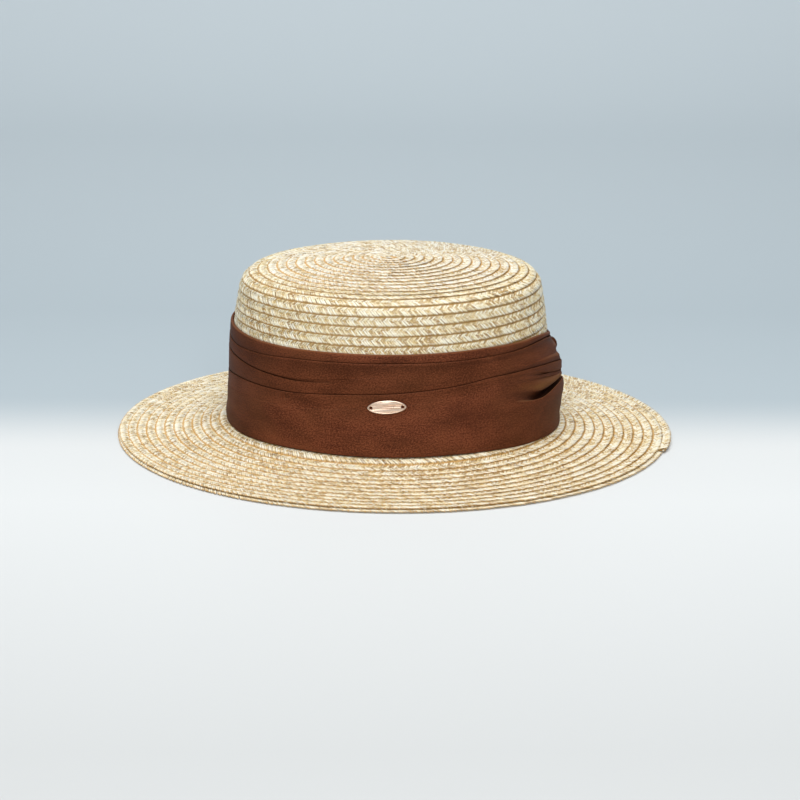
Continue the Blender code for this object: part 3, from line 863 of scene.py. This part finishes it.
def band_mesh():
    """The pleated satin as one sheet round the crown, with ruches that run into the gather."""
    rng = np.random.default_rng(21)
    waves = rng.random((14, 5))
    angles = np.arange(BAND_COLUMNS) * 360 / BAND_COLUMNS
    rows, cloth, folded = [], [], []
    for angle, fold in zip(angles, fold_curves(angles)):
        line = smooth_line(band_knots(fold), BAND_STEPS)
        out, height = line[:, 0], line[:, 1]
        down = np.concatenate([[0.0], np.cumsum(np.linalg.norm(np.diff(line[:, :2], axis=0), axis=1))])
        # Painted shade: the upper panel, the cloth just below it and the sides away from the front are made
        # duskier.
        panel = smooth_step((height - fold.panel_top) / 2.0) * smooth_step(fold.roll_low - height)
        shelter_shade = smooth_step(1 - np.abs(fold.panel_top - 1.0 - height) / 9.0) * (height < fold.panel_top)
        sides = 1 - front_share(math.radians(angle))
        aside_shade = np.maximum.reduce([np.full(len(line), sides), 0.85 * panel, 0.7 * shelter_shade])
        folded.append(np.stack([*np.clip(line[:, 2:].T, 0, 1), aside_shade], 1))
        away = abs(degrees_past(GATHER_ANGLE, angle))
        near = math.exp(-((max(away - 6.0, 0.0) / 20.0) ** 1.2))
        ruche = np.zeros(len(line))
        for spread, phase, slant, _, weight in waves:
            period = 4.0 + 9.0 * spread
            lean = (slant - 0.5) * away / 16
            ruche += (0.3 + weight) * np.sin(2 * math.pi * (height / period + phase + lean))
        calm = np.zeros(len(line))
        for spread, phase, slant, turn, weight in waves[:8]:
            lap = round(2 + 9 * turn)
            drop = height / (24 + 30 * spread) * (slant - 0.2)
            calm += (0.2 + weight) * np.sin(math.radians(angle) * lap + 2 * math.pi * (phase + drop))
        shown = np.clip((out - 0.9) / 1.2, 0, 1)
        edge = np.clip((height - BAND_FOOT) / 3, 0.15, 1)
        tidy = 1.0 if away > 7.5 else away / 7.5
        out = out + shown * edge * (RUCHE_DEPTH * near * ruche * (0.3 + 0.7 * tidy) + WAVE_DEPTH * calm)
        for tack in TACKS:
            side = math.radians(degrees_past(tack.angle, angle)) * TACK_R
            far = np.hypot(side, (height - tack.z) * 1.3)
            dent = shown * DENT_DEPTH * np.exp(-((far / DENT_R) ** 2))
            pucker = shown * PUCKER_HEIGHT * np.exp(-(((far - PUCKER_R) / PUCKER_WIDTH) ** 2))
            out = out - dent + pucker
        out = np.maximum(out, 0.35)
        radius = wall_radius(height * MM) + out * MM
        a = math.radians(angle)
        x, y = radius * math.cos(a) + CROWN_X, OVAL * radius * math.sin(a)
        rows.append(np.stack([x, y, height * MM], 1))
        around = np.full(len(line), math.radians(angle) * GRAIN_R)
        # Painted sheen where the cloth faces up.
        fall, run = np.gradient(height), np.gradient(out)
        crest = shown * np.clip((run / np.maximum(np.hypot(run, fall), 1e-6) - 0.4) / 0.5, 0, 1)
        cloth.append(np.stack([around, down, crest], 1))
    points, cloth, folded = np.array(rows), np.array(cloth), np.array(folded)
    quads = grid_quads(len(angles), points.shape[1], wrap=True)[:, ::-1]
    marks = {"cloth": cloth.reshape(-1, 3), "fold": folded.reshape(-1, 3)}
    return mesh_of("band_cloth", points.reshape(-1, 3), quads, **marks)


def gather_mesh():
    """The upright loop of satin that pinches the pleats, ruched lengthwise."""
    around, tall = 72, 60
    heights = [wrap.z for wrap in WRAPS]
    rows, cloth = [], []
    foot = np.linspace(heights[0], heights[1], 6)[:-1]
    body = np.linspace(heights[1], heights[-2], tall)
    head = np.linspace(heights[-2], heights[-1], 7)[1:]
    for z in np.concatenate([foot, body, head]):
        reach = np.interp(z, heights, [wrap.reach for wrap in WRAPS])
        half = np.interp(z, heights, [wrap.half_width for wrap in WRAPS])
        middle, depth = (GATHER_INNER + reach) / 2, (reach - GATHER_INNER) / 2
        a = np.linspace(0, 2 * math.pi, around, endpoint=False)
        ripple = np.cos(FLUTES * a + 1.2 * math.sin(z / (9 * MM)))
        front = np.maximum(np.cos(a), 0) ** 0.5
        flute = 1 + np.where(np.cos(a) > 0, FLUTE_DEPTH * ripple * front, 0.0)
        out = middle + depth * flute * np.sign(np.cos(a)) * np.abs(np.cos(a)) ** 0.6
        wobble = 1 + 0.03 * np.sin(z / (3.1 * MM) + 2 * a)
        side = half * np.sign(np.sin(a)) * np.abs(np.sin(a)) ** 0.8 * wobble
        rows.append(np.stack([out, side, np.full(around, z)], 1))
        # Painted sheen on the crests of the flutes that face out.
        crest = np.clip(0.5 * np.cos(a) * flute - 0.35, 0, 1)
        cloth.append(np.stack([np.full(around, z / MM), a * half / MM, crest], 1))
    points, cloth = np.array(rows), np.array(cloth)
    columns = len(points)
    points, cloth = points.transpose(1, 0, 2), cloth.transpose(1, 0, 2)
    quads = grid_quads(around, columns, wrap=True)
    points = points.reshape(-1, 3)
    turn = np.array(Matrix.Rotation(math.radians(GATHER_ANGLE), 3, "Z"))
    points = points @ turn.T + np.array([CROWN_X, 0, 0])
    # Painted shade on the gather: the first column darkens its head, and the third makes all of it duskier.
    folded = np.zeros((len(points), 3))
    folded[:, 0] = 0.5 * smooth_step((points[:, 2] - 44 * MM) / (5 * MM))
    folded[:, 2] = 1.0
    mesh = mesh_of("gather_cloth", points, quads, cloth=cloth.reshape(-1, 3), fold=folded)

    def close_ends(shape):
        bmesh.ops.holes_fill(shape, edges=shape.edges)
        bmesh.ops.recalc_face_normals(shape, faces=shape.faces)

    reshape(mesh, close_ends)
    mesh.shade_smooth()
    return mesh


# Tag


# How the tag sits: its turn about the upright and its slant across the front in degrees, and how far
# it sits above the middle of the solid.
TAG_TURN, TAG_SLANT, TAG_RAISE = -2.4, -2.7, 0.25 * MM


def pointed_oval(half_long, half_high, count=56):
    """Outline of an oval drawn to a soft point left and right."""
    points = []
    for i in range(count):
        a = 2 * math.pi * i / count
        rise = math.copysign(abs(math.sin(a)) ** 1.14, math.sin(a))
        points.append((half_long * math.cos(a), half_high * rise))
    return points


def ring(x, r, count=24):
    """Outline of a circle of radius r about (x, 0)."""
    turns = np.linspace(0, 2 * math.pi, count, endpoint=False)
    return [(x + r * math.cos(a), r * math.sin(a)) for a in turns]


def curve_mesh(name, outlines, flat=True, extrude=0.0, bevel=0.0, lift=0.0, rounds=3):
    """The mesh of closed outlines, either filled flat and thickened or run round as a wire."""
    curve = bpy.data.curves.new(name, "CURVE")
    curve.dimensions = "2D" if flat else "3D"
    curve.fill_mode = "BOTH" if flat else "FULL"
    curve.extrude, curve.bevel_depth, curve.bevel_resolution = extrude, bevel, rounds
    for outline in outlines:
        spline = curve.splines.new("POLY")
        spline.points.add(len(outline) - 1)
        for point, (x, y) in zip(spline.points, outline):
            point.co = (x, y, 0.0 if flat else lift, 1.0)
        spline.use_cyclic_u = True
    helper = bpy.data.objects.new(name, curve)
    mesh = bpy.data.meshes.new_from_object(helper)
    bpy.data.objects.remove(helper)
    bpy.data.curves.remove(curve)
    if flat and lift:
        mesh.transform(Matrix.Translation((0, 0, lift)))
    return mesh


def tag_mesh(sizes):
    """A thin domed plate with a raised round rim and two eyelets, in the plane of its own x and y."""
    long, high = sizes.tag_length / 2, sizes.tag_height / 2
    hole_x = long - 1.95 * MM
    holes = [ring(hole_x, 0.95 * MM), ring(-hole_x, 0.95 * MM)]
    edge = pointed_oval(long - 0.25 * MM, high - 0.25 * MM)
    plate = curve_mesh("plate", [edge, *holes], extrude=0.3 * MM, bevel=0.08 * MM)
    wire = pointed_oval(long - 0.35 * MM, high - 0.35 * MM)
    rim = curve_mesh("rim", [wire], flat=False, bevel=0.36 * MM, lift=0.28 * MM)
    rings = [ring(hole_x, 1.08 * MM), ring(-hole_x, 1.08 * MM)]
    eyelets = curve_mesh("eyelets", rings, flat=False, bevel=0.16 * MM, lift=0.36 * MM)

    def cut_across(shape):
        """Cuts the flat plate into strips, so that it can be domed."""
        for height in np.linspace(-0.85, 0.85, 18) * high:
            everything = [*shape.verts, *shape.edges, *shape.faces]
            bmesh.ops.bisect_plane(shape, geom=everything, plane_co=(0, height, 0), plane_no=(0, 1, 0))

    reshape(plate, cut_across)
    mesh = joined("tag_plate_finish", [plate, rim, eyelets])
    for vertex in mesh.vertices:
        x, y, z = vertex.co
        vertex.co.z = z + 0.5 * MM * max(0.0, 1 - (x / long) ** 2 - (y / high) ** 2)
    mesh.set_sharp_from_angle(angle=math.radians(40))
    return mesh


# Settings, operators and panel


def length(name, text, value, low, high):
    return bpy.props.FloatProperty(
        name=name,
        description=text,
        default=value,
        min=low,
        max=high,
        subtype="DISTANCE",
        unit="LENGTH",
        precision=5,
    )


def colour(name, text, value):
    return bpy.props.FloatVectorProperty(
        name=name, description=text, default=value, size=3, min=0.0, max=1.0, subtype="COLOR"
    )


class BoaterSizes(bpy.types.PropertyGroup):
    """Sizes of the straw and the trimmings."""

    braid_width: length("Braid width", "Whole width of the plaited braid", 6.7 * MM, 0.003, 0.012)
    plait_repeat: length("Plait repeat", "Length of one repeat of the plait", 2.9 * MM, 0.001, 0.006)
    straw_thickness: length("Straw thickness", "How far a strand rounds up", 0.85 * MM, 0.0002, 0.002)
    row_lift: length("Row lift", "How far a row's free edge lies over the next row", 0.85 * MM, 0.0, 0.003)
    tag_length: length("Tag length", "Length of the metal tag", 20.9 * MM, 0.01, 0.04)
    tag_height: length("Tag height", "Height of the metal tag", 7.5 * MM, 0.003, 0.02)


class BoaterColours(bpy.types.PropertyGroup):
    """Colours of the straw, satin, metal and stage."""

    straw_pale: colour("Pale straw", "Most of the plait's strands", (0.93, 0.85, 0.65))
    straw_gold: colour("Gold straw", "Riper strands", (0.68, 0.495, 0.22))
    # Dark straw, darkened further, is also the painted shade on strand sides and ends.
    straw_dark: colour("Dark straw", "The ripest strands, strand sides and the shell", (0.37, 0.215, 0.075))
    straw_green: colour("Green straw", "Strands cut early", (0.70, 0.71, 0.52))
    straw_pink: colour("Pink straw", "Strands with a rosy cast", (0.93, 0.76, 0.62))
    # This colour is painted warm shade where rows meet and along a row's free edge, and the shell's shaded
    # tones.
    straw_seam_shade: colour("Seam straw", "Where one row slips under the next", (0.56, 0.32, 0.09))
    satin: colour("Satin", "The band's cloth", (0.141, 0.0415, 0.0185))
    # Deep satin, darkened further, is also the painted shade inside the folds.
    satin_deep: colour("Deep satin", "Between the band's threads", (0.058, 0.016, 0.007))
    # The sheen colour is a painted sheen where the cloth faces up, and a golden version of it on the pocket's
    # bulge.
    satin_sheen: colour("Satin sheen", "The band's cloth where it faces up", (0.23, 0.095, 0.042))
    metal: colour("Metal", "The tag", (0.78, 0.61, 0.49))
    floor: colour("Floor", "The surface that the hat rests on", (0.74, 0.76, 0.765))
    # The backdrop is much lighter than the far floor: painted light that offsets the lamps' falloff up the
    # sweep.
    back: colour("Far floor", "The surface behind the hat", (0.455, 0.525, 0.568))
    wall: colour("Backdrop", "The wall behind the hat", (0.84, 0.92, 0.96))


def straw_colours(colours):
    names = ("straw_pale", "straw_gold", "straw_dark", "straw_green", "straw_pink", "straw_seam_shade")
    return tuple(tuple(getattr(colours, name)) for name in names)


def shared(name, make):
    """A material made on first use."""
    return bpy.data.materials.get(name) or make()


Plait = namedtuple("Plait", "warmth seam_light")
# How the straw's colours are warmed, and how light the painted warm shade at the seams between the rows is.
PLAITS = {
    "pale straw": Plait((1.0, 0.985, 0.92), 1.25),
    "mellow straw": Plait((1.02, 0.975, 0.82), 1.15),
    "golden straw": Plait((1.01, 0.97, 0.79), 0.8),
}


def plait_material(context, name):
    colours = context.scene.boater_colours
    return shared(name, lambda: straw_finish(name, straw_colours(colours), *PLAITS[name]))


def core_material(context):
    # The shell shows only in the gaps between strands, so its colours are a darkened gold and the warm shade
    # colour: painted shade.
    _, gold, _, _, _, warm_shade = straw_colours(context.scene.boater_colours)
    palette = (gold, gold, warm_shade, warm_shade, gold, warm_shade)
    return shared("straw shell", lambda: straw_finish("straw shell", palette, (0.75, 0.72, 0.6)))


def satin_material(context):
    colours = context.scene.boater_colours
    tones = [tuple(tone) for tone in (colours.satin, colours.satin_deep, colours.satin_sheen)]
    return shared("brown satin", lambda: satin_finish("brown satin", *tones))


class BOATER_OT_crown_straw(bpy.types.Operator):
    """Plaits the straw of the crown, outside and in, over a plain shell"""

    bl_idname = "boater.crown_straw"
    bl_label = "Crown straw"

    def execute(self, context):
        sizes = context.scene.boater_sizes
        face = Face(crown_profile(), crown_place)
        material, golden = plait_material(context, "pale straw"), plait_material(context, "golden straw")
        low, first = -0.62 * MM, -0.3 * MM
        tip_turns, crown_turns = 13.0, 22.2
        tip = braid("tip_plait", face, first, tip_turns, sizes, 3, lift=low)
        add_piece("tip_plait", tip, material, "straw")
        start = first + tip_turns * ROW_STEP
        wall = braid("wall_plait", face, start, crown_turns - tip_turns, sizes, 5, lift=low)
        add_piece("wall_plait", wall, golden, "straw")
        rows = (face.lengths[-1] - 4 * MM) / ROW_STEP
        lift = STRAW - 0.75 * MM
        inside = braid("inside_plait", face, 0.9 * MM, rows, sizes, 4, under=True, lift=lift, coarse=True)
        add_piece("inside_plait", inside, golden, "straw")
        add_piece("crown_core", crown_core(0.8 * MM), core_material(context), "straw", "crown")
        return {"FINISHED"}


class BOATER_OT_brim_straw(bpy.types.Operator):
    """Plaits the straw of the brim, above and below, with its doubled edge row"""

    bl_idname = "boater.brim_straw"
    bl_label = "Brim straw"

    def execute(self, context):
        sizes = context.scene.boater_sizes
        face = Face(brim_profile(), brim_place)
        half = sizes.braid_width / 2
        edge = float(np.interp(BRIM_OUTER - TAIL_STEP / 2, face.profile[:, 0], face.lengths))
        rows, split = 13, 7
        first = edge - half - (rows - 1) * ROW_STEP
        low = -0.85 * MM

        def last_turn(wound):
            """Draws the last turn in a little, so that its end stands out by the tail's step."""
            return (TAIL_STEP - ROW_STEP) * np.clip(wound / (2 * math.pi) - (rows - split - 1), 0, 1)

        def edge_row_path(wound):
            """Keeps the row below the edge at one distance, then lets it run in under the brim."""
            away = smooth_step((wound - 1.7) / 2.2) * 3.4 * MM - 0.5 * MM * (1 - smooth_step(wound / 1.8))
            away = away - TAIL_STEP * smooth_step(wound / math.pi) * 0.5
            return -ROW_STEP * wound / (2 * math.pi) - away

        material = plait_material(context, "mellow straw")
        inner = braid("brim_plait_inner", face, first, split, sizes, 11, lift=low)
        add_piece("brim_plait_inner", inner, material, "straw")
        start = first + split * ROW_STEP
        turns = rows - split + 0.003
        outer = braid(
            "brim_plait_outer", face, start, turns, sizes, 12, lift=low, drift=last_turn, taper=8 * MM
        )
        add_piece("brim_plait_outer", outer, material, "straw")
        start = edge - half + 1.95 * MM
        edge_row = braid(
            "edge_row", face, start, 1.0, sizes, 13, lift=-1.5 * MM, level=True, drift=edge_row_path
        )
        add_piece("edge_row", edge_row, material, "straw")
        start, lift = first + 0.2 * MM, BRIM_THICK - 1.1 * MM
        below = braid(
            "brim_plait_under", face, start, rows - 0.3, sizes, 14, under=True, lift=lift, coarse=True
        )
        add_piece("brim_plait_under", below, material, "straw")
        add_piece("brim_core", brim_core(0.85 * MM), core_material(context), "straw", "brim")
        return {"FINISHED"}


class BOATER_OT_band(bpy.types.Operator):
    """Makes the pleated satin band and the upright gather at its side"""

    bl_idname = "boater.band"
    bl_label = "Satin band and gather"

    def execute(self, context):
        satin = satin_material(context)
        band = add_piece("band_cloth", band_mesh(), satin, "satin", "hat_band")
        gather = add_piece("gather_cloth", gather_mesh(), satin, "satin", "band_gather")
        return {"FINISHED"}


class BOATER_OT_tag(bpy.types.Operator):
    """Makes the rose-gold tag on the front of the band"""

    bl_idname = "boater.tag"
    bl_label = "Metal tag"

    def execute(self, context):
        low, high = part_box("tag_plate")
        metal = metal_finish("brushed rose gold", tuple(context.scene.boater_colours.metal))
        mesh = tag_mesh(context.scene.boater_sizes)
        middle = (low + high) / 2 + Vector((0, 0, TAG_RAISE))
        turn = Matrix.Rotation(math.radians(TAG_TURN), 4, "Z")
        turn = turn @ Matrix.Rotation(math.radians(TAG_SLANT), 4, "Y")
        mesh.transform(Matrix.Translation(middle) @ turn @ Matrix.Rotation(math.pi / 2, 4, "X"))
        add_piece("tag_plate_finish", mesh, metal, "rose_gold", "tag_plate")
        return {"FINISHED"}


class BOATER_OT_stage(bpy.types.Operator):
    """Sets out the pale floor, backdrop, soft lights and camera"""

    bl_idname = "boater.stage"
    bl_label = "Stage, lights and camera"

    def execute(self, context):
        colours = context.scene.boater_colours
        scene = context.scene
        floor = plain_sweep("floor", tuple(colours.floor), tuple(colours.back), tuple(colours.wall))
        world = bpy.data.worlds.new("soft room")
        world.use_nodes = True
        sky = world.node_tree.nodes["Background"]
        sky.inputs["Color"].default_value = SKY_COLOUR
        sky.inputs["Strength"].default_value = SKY_STRENGTH
        scene.world = world
        for light in LIGHTS:
            add_light(light)
        add_camera(PHOTO_VIEW)
        scene.view_settings.view_transform = "Standard"
        return {"FINISHED"}


# The soft light that comes from all round.
SKY_COLOUR = (0.80, 0.86, 0.92, 1.0)
SKY_STRENGTH = 0.37

Light = namedtuple("Light", "name place target size power colour")
# The two lamps, in m and watts.
LIGHTS = (
    Light("overhead", (-0.02, -0.2, 1.6), (0.0, 0.0, 0.05), 1.2, 22.0, (1.0, 0.985, 0.96)),
    Light("front", (-0.02, -1.6, 0.9), (0.0, 0.0, 0.06), 0.9, 13.0, (1.0, 0.98, 0.955)),
)


def add_light(light):
    data = bpy.data.lights.new(light.name, "AREA")
    data.shape, data.size, data.energy, data.color = "SQUARE", light.size, light.power, light.colour
    lamp = placed(light.name, data)
    lamp.location = light.place
    lamp.rotation_euler = (Vector(light.target) - Vector(light.place)).to_track_quat("-Z", "Y").to_euler()


def add_camera(view):
    """A camera that looks along the view's pitch and yaw with a slight roll."""
    pitch, yaw, roll = (math.radians(a) for a in (view.pitch, view.yaw, view.roll))
    ahead = Vector((math.sin(yaw) * math.cos(pitch), math.cos(yaw) * math.cos(pitch), -math.sin(pitch)))
    right = ahead.cross(Vector((0, 0, 1))).normalized()
    up = right.cross(ahead)
    right, up = math.cos(roll) * right + math.sin(roll) * up, math.cos(roll) * up - math.sin(roll) * right
    data = bpy.data.cameras.new("camera")
    data.lens, data.sensor_width = view.lens, 36.0
    camera = placed("camera", data)
    turn = Matrix((right, up, -ahead)).transposed().to_4x4()
    camera.matrix_world = Matrix.Translation(view.location) @ turn
    bpy.context.scene.camera = camera


def plain_sweep(name, floor_colour, back_colour, wall_colour):
    """A floor that curves up into a backdrop, pale in front of the hat and blue-grey behind it, where it is
    painted lighter farther back to offset the lamps' falloff.
    """
    profile = [(-3.0, 0.0), (0.6, 0.0), (1.2, 0.0)]
    profile += [(1.2 + 0.9 * math.sin(a), 0.9 - 0.9 * math.cos(a)) for a in np.linspace(0.1, math.pi / 2, 16)]
    profile += [(2.1, 4.0)]
    points = [(x, y, z - 0.0001) for x in (-4.0, 4.0) for y, z in profile]
    size = len(profile)
    quads = [(i, size + i, size + i + 1, i + 1) for i in range(size - 1)]
    mesh = bpy.data.meshes.new(name)
    mesh.from_pydata(points, [], quads)
    mesh.shade_smooth()
    sweep = placed(name, mesh)
    finish = Finish("painted board", floor_colour, 0.6, specular_ior_level=0.3)
    place = finish.node("ShaderNodeTexCoord", output="Object")
    depth = finish.parts(place)[1]
    share = ((depth + 0.05) / 0.12).clamped()
    share = share * share * (3.0 - share * 2.0)
    # Painted light: farther back the colour climbs to the much lighter backdrop, to offset the lamps'
    # falloff.
    far = ((depth - 0.3) / 1.4).clamped()
    behind = finish.mix(far, (*back_colour, 1.0), (*wall_colour, 1.0))
    # Far in front of the hat the floor grows darker.
    near = ((-0.14 - depth) / 0.3).clamped()
    before = finish.mix(near, (*floor_colour, 1.0), (*(0.79 * c for c in floor_colour), 1.0))
    finish.feed("Base Color", finish.mix(share, before, behind))
    mesh.materials.append(finish.material)
    return sweep


class BOATER_PT_panel(bpy.types.Panel):
    """Lists the boater's pieces and settings"""

    bl_idname = "BOATER_PT_panel"
    bl_label = "Boater"
    bl_space_type = "VIEW_3D"
    bl_region_type = "UI"
    bl_category = "Boater"

    def draw(self, context):
        for group in (context.scene.boater_sizes, context.scene.boater_colours):
            box = self.layout.box()
            for name in type(group).__annotations__:
                box.prop(group, name)
        for operator in OPERATORS:
            self.layout.operator(operator.bl_idname)


OPERATORS = (
    BOATER_OT_crown_straw,
    BOATER_OT_brim_straw,
    BOATER_OT_band,
    BOATER_OT_tag,
    BOATER_OT_stage,
)
CLASSES = (BoaterSizes, BoaterColours, *OPERATORS, BOATER_PT_panel)


def register():
    for cls in CLASSES:
        bpy.utils.register_class(cls)
    bpy.types.Scene.boater_sizes = bpy.props.PointerProperty(type=BoaterSizes)
    bpy.types.Scene.boater_colours = bpy.props.PointerProperty(type=BoaterColours)


def unregister():
    del bpy.types.Scene.boater_sizes
    del bpy.types.Scene.boater_colours
    for cls in reversed(CLASSES):
        bpy.utils.unregister_class(cls)


def main():
    register()
    for name in ("Cube", "Camera", "Light"):
        if name in bpy.data.objects:
            bpy.data.objects.remove(bpy.data.objects[name], do_unlink=True)
    bpy.ops.boater.crown_straw()
    bpy.ops.boater.brim_straw()
    bpy.ops.boater.band()
    bpy.ops.boater.tag()
    bpy.ops.boater.stage()


if __name__ == "__main__":
    main()
